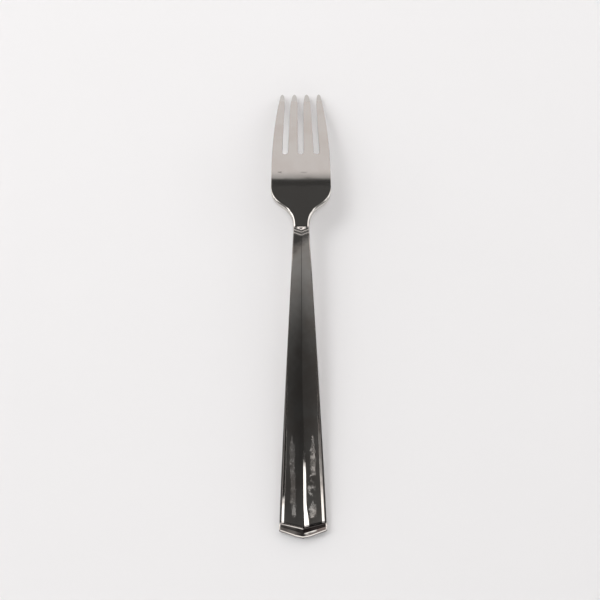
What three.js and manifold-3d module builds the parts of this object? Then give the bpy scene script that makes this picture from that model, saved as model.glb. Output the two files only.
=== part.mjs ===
import * as THREE from 'three';
import { mergeVertices } from 'three/addons/utils/BufferGeometryUtils.js';
import Module from 'manifold-3d';

const wasm = await Module();
wasm.setup();

// A dinner fork lying face down, in millimetres: +Y runs to the tine tips and +Z is up.
// It rests on its tine tips and on the flat underside of its butt cap.

// Lengths along the fork, measured on its middle line
const CAP_LENGTH = 3.2;
const HANDLE_LENGTH = 123.7; // from the butt's point to the collar, cap included
const COLLAR_LENGTH = 2.8;
const NECK_LENGTH = 19.5; // from the collar to the widest point of the shoulders
const BODY_LENGTH = 16.3; // from there to the roots of the slots
const TINE_LENGTH = 37.7;
const RAMP_LENGTH = 0.3; // facet that rises from the neck to the collar, at its sides
const TANG_LENGTH = 45;
const SPIGOT_LENGTH = 5;

// Widths
const BUTT_WIDTH = 18.8; // of the shells at the cap
const COLLAR_WIDTH = 7.0;
const SWELL_WIDTH = 17.8; // that the handle's curve is drawn towards
const SWELL_OFFSET = 22; // and its distance from the cap
const SHOULDER_WIDTH = 25.7;
const TANG_WIDTH = 2.4;
const BUTT_SPINE_WIDTH = 2.6;
const COLLAR_SPINE_WIDTH = 0.6;

// Thicknesses and heights
const HANDLE_THICKNESS = 4.8; // over the two spines
const ROOF_RISE = 0.6; // spine above the outer edge of each facet
const NECK_THICKNESS = 4.0;
const BODY_THICKNESS = 2.6;
const TIP_THICKNESS = 1.5;
const TANG_THICKNESS = 1.4;
const SHELL_WALL = 0.6;
const CROWN_HEIGHT = 15.2; // middle of the thickness where the back is highest
const CROWN_OFFSET = 9; // from the widest point of the shoulders to the crown
const CAP_END_HEIGHT = 4.0;

// Bevels, ribs and chevrons
const HANDLE_BEVEL_WIDTH = 1.2;
const HANDLE_BEVEL_DROP = 0.9;
const RIM_BEVEL_WIDTH = 1.3;
const RIM_BEVEL_DROP = 0.7;
const RIM_FADE_LENGTH = 5; // over which the rim shrinks to the plain edge of the tines
const TINE_BEVEL = 0.3;
const RIB_COUNT = 2;
const RIB_WIDTH = 0.6;
const GROOVE_DEPTH = 0.3;
const CAP_PROUD = 0.15; // cap beyond the shells, all round
const BUTT_CHEVRON_SLOPE = 0.31; // depth of the butt's V per unit of half-width
const COLLAR_CHEVRON_SLOPE = 0.45;

// Tines
const TINE_COUNT = 4;
const SLOT_WIDTH = 2.7;
const TIP_PITCH = 5.5;
const TIP_WIDTH = 1.2;
const TIP_TAPER = 10;
const SHOULDER_NECK_PULL = 11.5; // how far the shoulder's curve follows the neck
const SHOULDER_SIDE_PULL = 10.2; // and the side
const SIDE_SHOULDER_PULL = 17; // how far the side's curve follows the shoulder
const SIDE_TIP_PULL = 17; // and the lean at the tips
const SIDE_TIP_LEAN = 0.144;

// Clearances
const JOINT_GAP = 0.1; // soldered end faces
const SEAM_GAP = 0.1; // soldered seam between the shells
const FILLER_GAP = 0.2;
const SOCKET_GAP = 0.2;
const SPIGOT_GAP = 0.2;

// How finely the curves are cut
const HANDLE_STEPS = 12;
const SHOULDER_STEPS = 14;
const SIDE_STEPS = 22;
const CHEVRON_PASSES = 5;

// Stations from the butt's point to the tips
const collarStart = HANDLE_LENGTH + JOINT_GAP;
const collarEnd = HANDLE_LENGTH + COLLAR_LENGTH - JOINT_GAP;
const neckStart = HANDLE_LENGTH + COLLAR_LENGTH;
const shoulder = neckStart + NECK_LENGTH;
const slotRoot = shoulder + BODY_LENGTH;
const tip = slotRoot + TINE_LENGTH;
const crown = shoulder + CROWN_OFFSET;
const plateStart = neckStart + COLLAR_CHEVRON_SLOPE * COLLAR_WIDTH / 2 + RAMP_LENGTH;

const spineHeight = HANDLE_THICKNESS / 2;
const facetHeight = spineHeight - ROOF_RISE;
const sideShare = 1 - HANDLE_BEVEL_DROP / facetHeight;
const buttHeight = spineHeight + CAP_PROUD;
const tipHeight = TIP_THICKNESS / 2;

const lerp = THREE.MathUtils.lerp;
const share = (value, from, to) => THREE.MathUtils.clamp((value - from) / (to - from), 0, 1);

// Height of the middle of the thickness: a straight handle, then two parabolas that meet at the crown
const bend = crown - neckStart;
const handleSlope = (CROWN_HEIGHT - buttHeight) / (neckStart + bend / 2);

function centre(y) {
	if (y < neckStart) return buttHeight + handleSlope * y;
	if (y < crown) return CROWN_HEIGHT - handleSlope * (crown - y) ** 2 / (2 * bend);
	return CROWN_HEIGHT - (CROWN_HEIGHT - tipHeight) * ((y - crown) / (tip - crown)) ** 2;
}

// Half-width of the handle, as points of a curve from the cap to the collar
const handleOutline = new THREE.QuadraticBezierCurve(
	new THREE.Vector2(CAP_LENGTH, BUTT_WIDTH / 2),
	new THREE.Vector2(CAP_LENGTH + SWELL_OFFSET, SWELL_WIDTH / 2),
	new THREE.Vector2(HANDLE_LENGTH, COLLAR_WIDTH / 2),
).getPoints(HANDLE_STEPS);

// Half-width of the head, as points of two curves that meet at the shoulders
const neckHalf = COLLAR_WIDTH / 2;
const shoulderHalf = SHOULDER_WIDTH / 2;
const tipHalf = ((TINE_COUNT - 1) * TIP_PITCH + TIP_WIDTH) / 2;
const shoulderCurve = new THREE.CubicBezierCurve(
	new THREE.Vector2(plateStart, neckHalf),
	new THREE.Vector2(plateStart + SHOULDER_NECK_PULL, neckHalf),
	new THREE.Vector2(shoulder - SHOULDER_SIDE_PULL, shoulderHalf),
	new THREE.Vector2(shoulder, shoulderHalf),
);
const sideCurve = new THREE.CubicBezierCurve(
	new THREE.Vector2(shoulder, shoulderHalf),
	new THREE.Vector2(shoulder + SIDE_SHOULDER_PULL, shoulderHalf),
	new THREE.Vector2(tip - SIDE_TIP_PULL, tipHalf + SIDE_TIP_LEAN * SIDE_TIP_PULL),
	new THREE.Vector2(tip, tipHalf),
);
const headOutline = [
	...shoulderCurve.getPoints(SHOULDER_STEPS),
	...sideCurve.getPoints(SIDE_STEPS).slice(1),
];

function spanAt(outline, y) {
	const next = outline.findIndex((point) => point.x >= y);
	const last = next < 0 ? outline.length - 1 : Math.max(next, 1);
	return [outline[last - 1], outline[last]];
}

function halfWidth(outline, y) {
	const [from, to] = spanAt(outline, y);
	return lerp(from.y, to.y, share(y, from.x, to.x));
}

// Cross-section with a spine, two facets and a bevel above and below, from the top round the right side
function section({ half, spine, inset, rise, edge, wall }) {
	const above = [[spine, rise], [half - inset, edge], [half, wall]];
	const below = above.map(([x, z]) => [x, -z]).reverse();
	const right = [...above, ...below];
	const left = right.map(([x, z]) => [-x, z]).reverse();
	return [[0, rise], ...right, [0, -rise], ...left];
}

// The handle's sizes at a station, drawn in by a margin
function handleSizes(y, margin = 0) {
	const along = share(y, CAP_LENGTH, HANDLE_LENGTH);
	return {
		half: halfWidth(handleOutline, y) - margin,
		spine: lerp(BUTT_SPINE_WIDTH, COLLAR_SPINE_WIDTH, along) / 2,
		inset: lerp(HANDLE_BEVEL_WIDTH, HANDLE_BEVEL_WIDTH * COLLAR_WIDTH / BUTT_WIDTH, along),
		rise: spineHeight - margin,
		edge: facetHeight - margin,
		wall: (facetHeight - margin) * sideShare,
	};
}

const handleSection = (margin) => (y) => section(handleSizes(y, margin));

// Upper half of the handle's wall, from the left seam over the spine to the right one and back inside
function shellSection(y) {
	const seam = SEAM_GAP / 2;
	const arch = (margin) => {
		const points = section(handleSizes(y, margin));
		const over = [...points.slice(-3), ...points.slice(0, 4)];
		const side = over.at(-1)[0];
		return [[-side, seam], ...over, [side, seam]];
	};
	return [...arch(0), ...arch(SHELL_WALL).reverse()];
}

const lowerShellSection = (y) => shellSection(y).map(([x, z]) => [x, -z]).reverse();

// The cap stands proud of the shells, dips towards its end and is flat underneath
function capSection(dip) {
	return (y) => {
		const sizes = handleSizes(y, -CAP_PROUD);
		return section(sizes).map(([x, z]) => {
			if (z < -sizes.wall) return [x, -centre(y)];
			return [x, z > 0 ? z - dip : z];
		});
	};
}

function tangSection(gap) {
	const half = TANG_WIDTH / 2 + gap;
	const rise = TANG_THICKNESS / 2 + gap;
	return () => section({ half, spine: half / 3, inset: half / 3, rise, edge: rise, wall: rise / 2 });
}

// Head: flat above and below, with a bevelled rim round the shoulders
function headSection(y) {
	const half = halfWidth(headOutline, y);
	const [from, to] = spanAt(headOutline, y);
	const flare = Math.hypot(1, (to.y - from.y) / (to.x - from.x));
	const fade = share(y, shoulder - RIM_FADE_LENGTH, shoulder);
	const inset = lerp(RIM_BEVEL_WIDTH, TINE_BEVEL, fade) * flare;
	const drop = lerp(RIM_BEVEL_DROP, TINE_BEVEL, fade);
	const root = lerp(NECK_THICKNESS, BODY_THICKNESS, share(y, plateStart, shoulder));
	const rise = lerp(root, TIP_THICKNESS, share(y, shoulder, tip)) / 2;
	return section({ half, spine: (half - inset) / 2, inset, rise, edge: rise, wall: rise - drop });
}

// The chevron's slope goes over from the butt's to the collar's along the handle
function chevron(station) {
	return lerp(BUTT_CHEVRON_SLOPE, COLLAR_CHEVRON_SLOPE, share(station, CAP_LENGTH, HANDLE_LENGTH));
}

// One ring of points: its middle lies at a station and its sides are swept towards the tines
function ring(station, sectionAt, slope = chevron(station)) {
	return sectionAt(station).map((point, index) => {
		let y = station;
		for (let pass = 0; pass < CHEVRON_PASSES; pass += 1) {
			y = station + slope * Math.abs(sectionAt(y)[index][0]);
		}
		const [x, z] = sectionAt(y)[index];
		return [x, y - tip / 2, centre(y) + z];
	});
}

// Triangles that close a ring: a fan round a solid section, a strip along a shell's wall
function fan(count) {
	return Array.from({ length: count - 2 }, (_, j) => [0, j + 1, j + 2]);
}

function strip(count) {
	const pairs = Array.from({ length: count / 2 - 1 }, (_, j) => j);
	return pairs.flatMap((j) => [[j, j + 1, count - 2 - j], [j, count - 2 - j, count - 1 - j]]);
}

function loft(rings, closing = fan) {
	const count = rings[0].length;
	const last = (rings.length - 1) * count;
	const index = [];
	for (let i = 0; i < last; i += count) {
		for (let j = 0; j < count; j += 1) {
			const next = (j + 1) % count;
			index.push(i + j, i + next, i + count + j);
			index.push(i + next, i + count + next, i + count + j);
		}
	}
	for (const [a, b, c] of closing(count)) {
		index.push(a, c, b);
		index.push(last + a, last + b, last + c);
	}
	const geometry = new THREE.BufferGeometry();
	geometry.setAttribute('position', new THREE.Float32BufferAttribute(rings.flat(2), 3));
	geometry.setIndex(index);
	return geometry;
}

function solid(geometry) {
	const bare = geometry.clone();
	bare.deleteAttribute('normal');
	bare.deleteAttribute('uv');
	const merged = mergeVertices(bare);
	return new wasm.Manifold(new wasm.Mesh({
		numProp: 3,
		vertProperties: new Float32Array(merged.attributes.position.array),
		triVerts: new Uint32Array(merged.index.array),
	}));
}

function cut(geometry, cutters) {
	const result = cutters.reduce((left, cutter) => left.subtract(solid(cutter)), solid(geometry)).getMesh();
	const trimmed = new THREE.BufferGeometry();
	trimmed.setAttribute('position', new THREE.Float32BufferAttribute(result.vertProperties, 3));
	trimmed.setIndex(Array.from(result.triVerts));
	return trimmed;
}

function stations(from, to, steps) {
	return Array.from({ length: steps + 1 }, (_, i) => lerp(from, to, i / steps));
}

// Slot between two tines: a round root, straight sides and a flare that tapers the tips
function slot(place) {
	const rootPitch = (2 * halfWidth(headOutline, slotRoot) + SLOT_WIDTH) / TINE_COUNT;
	const half = SLOT_WIDTH / 2;
	const flare = (TIP_PITCH - TIP_WIDTH) / 2;
	const middle = (y) => place * lerp(rootPitch, TIP_PITCH, share(y, slotRoot, tip));
	const taperStart = tip - TIP_TAPER;
	const taperBend = tip - TIP_TAPER / 3;
	const beyond = tip + SLOT_WIDTH;
	const shape = new THREE.Shape();
	shape.absarc(middle(slotRoot), slotRoot + half, half, 0, Math.PI, true);
	shape.lineTo(middle(taperStart) - half, taperStart);
	shape.quadraticCurveTo(middle(taperBend) - half, taperBend, middle(tip) - flare, tip);
	shape.lineTo(middle(tip) - flare, beyond);
	shape.lineTo(middle(tip) + flare, beyond);
	shape.lineTo(middle(tip) + flare, tip);
	shape.quadraticCurveTo(middle(taperBend) + half, taperBend, middle(taperStart) + half, taperStart);
	shape.closePath();
	const depth = 2 * (CROWN_HEIGHT + BODY_THICKNESS);
	const geometry = new THREE.ExtrudeGeometry(shape, { depth, bevelEnabled: false, curveSegments: 8 });
	geometry.translate(0, -tip / 2, -depth / 4);
	return geometry;
}

function forkHead() {
	const tang = tangSection(0);
	const tangRings = stations(neckStart - TANG_LENGTH, neckStart, HANDLE_STEPS).map((y) => ring(y, tang));
	const rings = [
		...tangRings,
		ring(neckStart, handleSection(0)),
		...headOutline.map((point) => ring(point.x, headSection, 0)),
	];
	const slots = Array.from({ length: TINE_COUNT - 1 }, (_, i) => slot(i + 1 - TINE_COUNT / 2));
	return cut(loft(rings), slots);
}

// Space for the tang, from its end right through the collar
function tangSocket() {
	const from = neckStart - TANG_LENGTH - SOCKET_GAP;
	const to = neckStart + COLLAR_WIDTH;
	return loft(stations(from, to, HANDLE_STEPS).map((y) => ring(y, tangSection(SOCKET_GAP))));
}

// Collar with a V-shaped groove before, between and after its ribs
function neckCollar() {
	const pitch = (collarEnd - collarStart) / RIB_COUNT;
	const rings = [ring(collarStart, handleSection(GROOVE_DEPTH))];
	for (let rib = 0; rib < RIB_COUNT; rib += 1) {
		const middle = collarStart + pitch * (rib + 0.5);
		rings.push(ring(middle - RIB_WIDTH / 2, handleSection(0)));
		rings.push(ring(middle + RIB_WIDTH / 2, handleSection(0)));
		rings.push(ring(middle + pitch / 2, handleSection(GROOVE_DEPTH)));
	}
	return cut(loft(rings), [tangSocket()]);
}

function handleShell(sectionAt) {
	const rows = stations(CAP_LENGTH + JOINT_GAP, HANDLE_LENGTH, HANDLE_STEPS);
	return loft(rows.map((y) => ring(y, sectionAt)), strip);
}

function handleFiller() {
	const from = CAP_LENGTH + SPIGOT_LENGTH + JOINT_GAP;
	const core = handleSection(SHELL_WALL + FILLER_GAP);
	const rows = stations(from, HANDLE_LENGTH, HANDLE_STEPS);
	return cut(loft(rows.map((y) => ring(y, core))), [tangSocket()]);
}

function buttCap() {
	const spigot = handleSection(SHELL_WALL + SPIGOT_GAP);
	const dip = buttHeight + spineHeight + CAP_PROUD - CAP_END_HEIGHT;
	return loft([
		ring(0, capSection(dip)),
		ring(CAP_LENGTH, capSection(0)),
		ring(CAP_LENGTH, spigot),
		ring(CAP_LENGTH + SPIGOT_LENGTH, spigot),
	]);
}

const steel = () => new THREE.MeshStandardMaterial({ color: 0xc8c4be, roughness: 0.12, metalness: 1 });
const cement = () => new THREE.MeshStandardMaterial({ color: 0x9c968a, roughness: 0.95, metalness: 0 });

const fork = new THREE.Group();

function place(name, geometry, material) {
	geometry.computeVertexNormals();
	const mesh = new THREE.Mesh(geometry, material);
	mesh.name = name;
	fork.add(mesh);
}

place('fork_head', forkHead(), steel());
place('neck_collar', neckCollar(), steel());
place('handle_back_shell', handleShell(shellSection), steel());
place('handle_front_shell', handleShell(lowerShellSection), steel());
place('handle_filler', handleFiller(), cement());
place('butt_cap', buttCap(), steel());

export default fork;
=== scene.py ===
import math

import bmesh
import bpy
import numpy as np
from mathutils import Matrix, Vector


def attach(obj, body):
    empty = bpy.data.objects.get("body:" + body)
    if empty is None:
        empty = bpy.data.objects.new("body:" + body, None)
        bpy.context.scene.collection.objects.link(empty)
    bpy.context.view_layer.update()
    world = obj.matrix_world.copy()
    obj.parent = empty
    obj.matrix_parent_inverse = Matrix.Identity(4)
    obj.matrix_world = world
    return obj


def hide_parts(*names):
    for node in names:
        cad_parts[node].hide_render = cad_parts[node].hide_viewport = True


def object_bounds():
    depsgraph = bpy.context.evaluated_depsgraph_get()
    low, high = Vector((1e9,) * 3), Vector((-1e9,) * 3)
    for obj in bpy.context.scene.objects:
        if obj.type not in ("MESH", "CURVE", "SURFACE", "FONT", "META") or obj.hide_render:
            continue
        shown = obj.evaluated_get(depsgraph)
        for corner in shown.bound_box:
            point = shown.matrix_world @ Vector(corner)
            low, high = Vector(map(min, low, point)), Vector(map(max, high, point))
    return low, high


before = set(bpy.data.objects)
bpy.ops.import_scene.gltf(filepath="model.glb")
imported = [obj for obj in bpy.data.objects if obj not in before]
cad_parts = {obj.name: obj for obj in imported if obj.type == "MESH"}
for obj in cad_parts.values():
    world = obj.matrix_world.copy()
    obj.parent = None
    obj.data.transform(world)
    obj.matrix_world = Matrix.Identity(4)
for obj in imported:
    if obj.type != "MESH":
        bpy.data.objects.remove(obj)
cad_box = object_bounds()

# A dinner fork lying face down: +Y runs to the tine tips and +Z is up. All sizes are in metres.
MM = 0.001
PER_METRE = 1000  # millimetres

# Lengths along the fork. A station is a distance from the butt's point, on the middle line.
CAP_LENGTH = 3.2 * MM
SHELL_START = 3.86 * MM
HANDLE_LENGTH = 123.7 * MM
COLLAR_LENGTH = 2.8 * MM
NECK_LENGTH = 19.5 * MM
BODY_LENGTH = 16.3 * MM
TINE_LENGTH = 37.7 * MM
RAMP_LENGTH = 0.3 * MM
TANG_LENGTH = 45 * MM
SPIGOT_LENGTH = 5 * MM
SPIGOT_OVERLAP = 0.5 * MM

# Widths
BUTT_WIDTH = 18.8 * MM
COLLAR_WIDTH = 7.0 * MM
SWELL_WIDTH = 17.8 * MM
SWELL_OFFSET = 22 * MM
SHOULDER_WIDTH = 25.7 * MM
TANG_WIDTH = 2.4 * MM
GRIP_CREST_WIDTH = 3.2 * MM
COLLAR_CREST_WIDTH = 0.2 * MM
BUTT_CREST_WIDTH = 6.6 * MM

# Where the handle's crest and bevels narrow on their way from the butt
CREST_FLARE_LENGTH = 11 * MM
CREST_NARROWS = 25 * MM
CREST_ENDS = 65 * MM
BEVEL_NARROWS = 20 * MM
BEVEL_ENDS = 85 * MM

# Thicknesses and heights
HANDLE_THICKNESS = 4.8 * MM
ROOF_RISE = 0.6 * MM
NECK_THICKNESS = 4.0 * MM
NECK_STEP = 0.06 * MM
BODY_THICKNESS = 2.6 * MM
TIP_THICKNESS = 1.5 * MM
TANG_THICKNESS = 1.4 * MM
SHELL_WALL = 0.6 * MM
CROWN_HEIGHT = 15.2 * MM
CROWN_OFFSET = 9 * MM

# Bevels, ribs and chevrons
BUTT_BEVEL_WIDTH = 1.75 * MM
GRIP_BEVEL_WIDTH = 0.3 * MM
BEVEL_STEEPNESS = 0.75
EDGE_SHARE = 0.42
EDGE_STEEPNESS = 1.25
RIM_WIDTH = 0.95 * MM
RIM_DROP = 1.07 * MM
LOW_RIM = 1.0 * MM
RIM_FADE_LENGTH = 5 * MM
TINE_EDGE = 0.12 * MM
RIB_COUNT = 2
RIB_RADIUS = 0.24 * MM
GROOVE_DEPTH = 0.3 * MM
CAP_PROUD = 0.15 * MM
CAP_BEVEL_WIDTH = 0.45 * MM
CAP_BOW = 0.35 * MM
CAP_BOW_END = 1.6 * MM
BUTT_CHEVRON_SLOPE = 0.31
SHELL_CHEVRON_SLOPE = 0.25
COLLAR_CHEVRON_SLOPE = 0.45

# Tines
TINE_COUNT = 4
SLOT_WIDTH = 2.5 * MM
TIP_PITCH = 5.5 * MM
TIP_WIDTH = 1.2 * MM
TIP_TAPER = 10 * MM
TIP_ROUND = 1.7 * MM
SHOULDER_NECK_PULL = 11.5 * MM
SHOULDER_SIDE_PULL = 10.2 * MM
SIDE_SHOULDER_PULL = 17 * MM
SIDE_TIP_PULL = 17 * MM
SIDE_TIP_LEAN = 0.144

# Clearances at the soldered joints
JOINT_GAP = 0.1 * MM
SEAM_GAP = 0.04 * MM
SPIGOT_GAP = 0.2 * MM

# Stations from the butt's point to the tips
collar_start = HANDLE_LENGTH + JOINT_GAP
collar_end = HANDLE_LENGTH + COLLAR_LENGTH - JOINT_GAP
rib_pitch = (collar_end - collar_start) / RIB_COUNT
neck_start = HANDLE_LENGTH + COLLAR_LENGTH
shoulder = neck_start + NECK_LENGTH
slot_root = shoulder + BODY_LENGTH
tip = slot_root + TINE_LENGTH
crown = shoulder + CROWN_OFFSET
plate_start = neck_start + COLLAR_CHEVRON_SLOPE * COLLAR_WIDTH / 2 + RAMP_LENGTH

spine_height = HANDLE_THICKNESS / 2
facet_height = spine_height - ROOF_RISE
butt_height = spine_height + CAP_PROUD
tip_height = TIP_THICKNESS / 2
butt_y = cad_box[0].y


# Node maths

class Field:
    """A socket of a node tree, for use in Python expressions."""

    def __init__(self, tree, socket=None):
        self.tree = tree
        self.socket = socket

    def add(self, kind, settings=None, inputs=None, output=0):
        """A new node of the tree. Its settings come first, then the values and links of its sockets."""
        node = self.tree.nodes.new(kind)
        for name, value in (settings or {}).items():
            setattr(node, name, value)
        for key, value in (inputs or {}).items():
            if isinstance(value, Field):
                self.tree.links.new(value.socket, node.inputs[key])
            else:
                node.inputs[key].default_value = value
        return Field(self.tree, node.outputs[output] if node.outputs else None)

    def also(self, output):
        """Another output of the same node."""
        return Field(self.tree, self.socket.node.outputs[output])

    def math(self, operation, *values):
        """The result of a sum or a function of numbers and fields."""
        return self.add("ShaderNodeMath", {"operation": operation}, dict(enumerate(values)))

    def __add__(self, other):
        return self.math("ADD", self, other)

    def __sub__(self, other):
        return self.math("SUBTRACT", self, other)

    def __rsub__(self, other):
        return self.math("SUBTRACT", other, self)

    def __mul__(self, other):
        return self.math("MULTIPLY", self, other)

    def __truediv__(self, other):
        return self.math("DIVIDE", self, other)

    def __pow__(self, other):
        return self.math("POWER", self, other)

    def __neg__(self):
        return self.math("MULTIPLY", self, -1.0)

    def __abs__(self):
        return self.math("ABSOLUTE", self)

    __radd__ = __add__
    __rmul__ = __mul__

    def larger(self, *others):
        """The largest of this and other values."""
        largest = self
        for other in others:
            largest = self.math("MAXIMUM", largest, other)
        return largest

    def rise(self, start, end):
        """0 before start, 1 after end, with a soft step between."""
        inputs = {"Value": self, "From Min": start, "From Max": end}
        return self.add("ShaderNodeMapRange", {"interpolation_type": "SMOOTHSTEP"}, inputs)

    def band(self, low, high, soft):
        """1 between low and high, with soft sides."""
        return self.rise(low - soft, low + soft) * (1 - self.rise(high - soft, high + soft))


# Lines of the fork

def lerp(start, end, part):
    return start + (end - start) * part


def share(value, start, end):
    return np.clip((value - start) / (end - start), 0, 1)


def smooth(value, start, end):
    """A soft step from 0 to 1, of a number or of a node field."""
    if isinstance(value, Field):
        return value.rise(start, end)
    part = share(value, start, end)
    return part * part * (3 - 2 * part)


bend = crown - neck_start
handle_slope = (CROWN_HEIGHT - butt_height) / (neck_start + bend / 2)


def centre(station):
    """Height of the thickness's middle: a straight handle, then two parabolas that meet at the crown."""
    handle = butt_height + handle_slope * station
    rise = CROWN_HEIGHT - handle_slope * (crown - station) ** 2 / (2 * bend)
    fall = CROWN_HEIGHT - (CROWN_HEIGHT - tip_height) * ((station - crown) / (tip - crown)) ** 2
    return np.where(station < neck_start, handle, np.where(station < crown, rise, fall))


def curve(points, steps=300):
    """Points of a Bezier curve through its end points, drawn towards the ones between them."""
    along = np.linspace(0, 1, steps + 1)[:, None]
    rows = [np.array([point]) + 0 * along for point in points]
    while len(rows) > 1:
        rows = [lerp(first, second, along) for first, second in zip(rows, rows[1:])]
    return rows[0]


neck_half = COLLAR_WIDTH / 2
shoulder_half = SHOULDER_WIDTH / 2
tip_half = ((TINE_COUNT - 1) * TIP_PITCH + TIP_WIDTH) / 2

# Half-widths along the head, as (station, half-width)
shoulder_edge = curve([
    (plate_start, neck_half),
    (plate_start + SHOULDER_NECK_PULL, neck_half),
    (shoulder - SHOULDER_SIDE_PULL, shoulder_half),
    (shoulder, shoulder_half),
])
side_edge = curve([
    (shoulder, shoulder_half),
    (shoulder + SIDE_SHOULDER_PULL, shoulder_half),
    (tip - SIDE_TIP_PULL, tip_half + SIDE_TIP_LEAN * SIDE_TIP_PULL),
    (tip, tip_half),
])
head_edge = np.vstack([shoulder_edge, side_edge[1:]])
head_flare = np.hypot(1, np.gradient(head_edge[:, 1], head_edge[:, 0]))


def half_width(edge, station):
    return np.interp(station, edge[:, 0], edge[:, 1])


def chevron(station):
    return lerp(BUTT_CHEVRON_SLOPE, COLLAR_CHEVRON_SLOPE, share(station, CAP_LENGTH, HANDLE_LENGTH))


# Cross-sections, as (across, up) from the top round the right side

CORNER_STEPS = 4
FLAT_MARGIN = 1.3  # where the flat beside a rounded corner starts, in radii


def soften(points, radii):
    """Rounds the corners of a line of points, and keeps the faces beside them flat."""
    line = [np.array(points[0])]
    for before, corner, after, radius in zip(points, points[1:], points[2:], radii):
        corner = np.array(corner)
        back = (np.array(before) - corner) / math.dist(before, corner) * radius
        on = (np.array(after) - corner) / math.dist(after, corner) * radius
        line.append(corner + back * FLAT_MARGIN)
        for step in range(CORNER_STEPS + 1):
            turn = step / CORNER_STEPS
            line.append(corner + back * (1 - turn) ** 2 + on * turn ** 2)
        line.append(corner + on * FLAT_MARGIN)
    line.append(np.array(points[-1]))
    return np.array(line)


SIDE_ROUND = 0.28 * MM
TANG_ROUND = 0.3 * MM
BEVEL_ROUNDS = (0.0175, 0.07, 0.035)  # of the bevels' three corners, in bevel widths
CREST_STEPS = 6
BORE_SHARE = 0.45

# Sizes that change along the handle, by the names of the inputs that the shells' nodes have for them
HANDLE_SIZES = {
    "Start": CAP_LENGTH,
    "First Row": SHELL_START,
    "Swell": CAP_LENGTH + SWELL_OFFSET,
    "End": HANDLE_LENGTH,
    "Butt Width": BUTT_WIDTH,
    "Swell Width": SWELL_WIDTH,
    "Collar Width": COLLAR_WIDTH,
    "Butt Crest": BUTT_CREST_WIDTH,
    "Grip Crest": GRIP_CREST_WIDTH,
    "Collar Crest": COLLAR_CREST_WIDTH,
    "Butt Bevel": BUTT_BEVEL_WIDTH,
    "Grip Bevel": GRIP_BEVEL_WIDTH,
    "Roof Rise": ROOF_RISE,
}


def handle_half(station, sizes=HANDLE_SIZES):
    """Half the handle's width: a Bezier curve between its ends, drawn towards the swell."""
    start, swell, end = sizes["Start"], sizes["Swell"], sizes["End"]
    pull, bow = swell - start, start - swell * 2 + end
    turn = ((pull * pull + bow * (station - start)) ** 0.5 - pull) / bow
    widths = [sizes[name] / 2 for name in ("Butt Width", "Swell Width", "Collar Width")]
    return lerp(lerp(widths[0], widths[1], turn), lerp(widths[1], widths[2], turn), turn)


def crest_half(station, sizes=HANDLE_SIZES):
    """Half the width of the rounded crest between the facets, which opens out towards the butt."""
    narrowed = smooth(station, CREST_NARROWS, CREST_ENDS)
    plain = lerp(sizes["Grip Crest"], sizes["Collar Crest"], narrowed)
    flare = 1 - smooth(station, CAP_LENGTH, CAP_LENGTH + CREST_FLARE_LENGTH)
    return lerp(plain, sizes["Butt Crest"], flare) / 2


def bevel_width(station, sizes=HANDLE_SIZES):
    """Width of the bevels along the handle's edges, which also open out towards the butt."""
    narrowed = smooth(station, BEVEL_NARROWS, BEVEL_ENDS)
    return lerp(sizes["Butt Bevel"], sizes["Grip Bevel"], narrowed)


def roof(station, margin=0.0, inset=None):
    """Crest, facet, bevel and side of the handle's right half, down to the middle of its thickness."""
    half = handle_half(np.clip(station, CAP_LENGTH, HANDLE_LENGTH)) - margin
    inset = inset or bevel_width(station)
    edge = facet_height - margin
    crest = crest_half(station)
    fall = ROOF_RISE / (half - inset - crest / 2)
    across = np.linspace(0, crest, CREST_STEPS + 1)
    spine = np.column_stack([across, edge + ROOF_RISE - fall * across ** 2 / (2 * crest)])
    outer = EDGE_SHARE * inset
    bend_height = edge - BEVEL_STEEPNESS * (inset - outer)
    side_height = max(bend_height - EDGE_STEEPNESS * outer, outer)
    corners = [
        tuple(spine[-1]),
        (half - inset, edge),
        (half - outer, bend_height),
        (half, side_height),
        (half, 0.0),
    ]
    return np.vstack([spine, soften(corners, [radius * inset for radius in BEVEL_ROUNDS])[1:]])


def whole(right):
    """A closed outline from its right half, which runs from the top to the bottom."""
    return np.vstack([right, right[-2:0:-1] * np.array([-1, 1])])


def sleeve_section(margin):
    """The whole outline of the handle, drawn in by a margin."""
    def section(station):
        above = roof(station, margin)
        below = above[-2::-1] * np.array([1, -1])
        return whole(np.vstack([above, below]))
    return section


def tang_section(station):
    """The tang's outline, which is the same all along."""
    half, rise = TANG_WIDTH / 2, TANG_THICKNESS / 2
    corner = soften([(0, rise), (half, rise), (half, 0)], [TANG_ROUND])
    return whole(np.vstack([corner, corner[-2::-1] * np.array([1, -1])]))


STEP_AHEAD = 1 * MM  # for the slope of a section's sides


def ring(station, section, slope=None):
    """Points of a section whose sides are swept towards the tines, as the arms of a V."""
    slope = chevron(station) if slope is None else slope
    here = section(station)
    grow = (section(station + STEP_AHEAD) - here) / STEP_AHEAD
    side = np.sign(here[:, 0])
    reach = slope * np.abs(here[:, 0]) / (1 - slope * side * grow[:, 0])
    across, up = (here + grow * reach[:, None]).T
    along = station + reach
    return np.column_stack([across, along + butt_y, centre(along) + up])


# Meshes

SHARP_ANGLE = math.radians(40)
MERGE_DISTANCE = 0.0005 * MM


def piece(name, points, faces):
    """A smooth-shaded object with its place in its mesh."""
    mesh = bpy.data.meshes.new(name)
    mesh.from_pydata([tuple(point) for point in points], [], faces)
    work = bmesh.new()
    work.from_mesh(mesh)
    bmesh.ops.remove_doubles(work, verts=work.verts, dist=MERGE_DISTANCE)
    bmesh.ops.recalc_face_normals(work, faces=work.faces)
    work.to_mesh(mesh)
    work.free()
    mesh.shade_smooth()
    mesh.set_sharp_from_angle(angle=SHARP_ANGLE)
    made = bpy.data.objects.new(name, mesh)
    bpy.context.scene.collection.objects.link(made)
    return made


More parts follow.
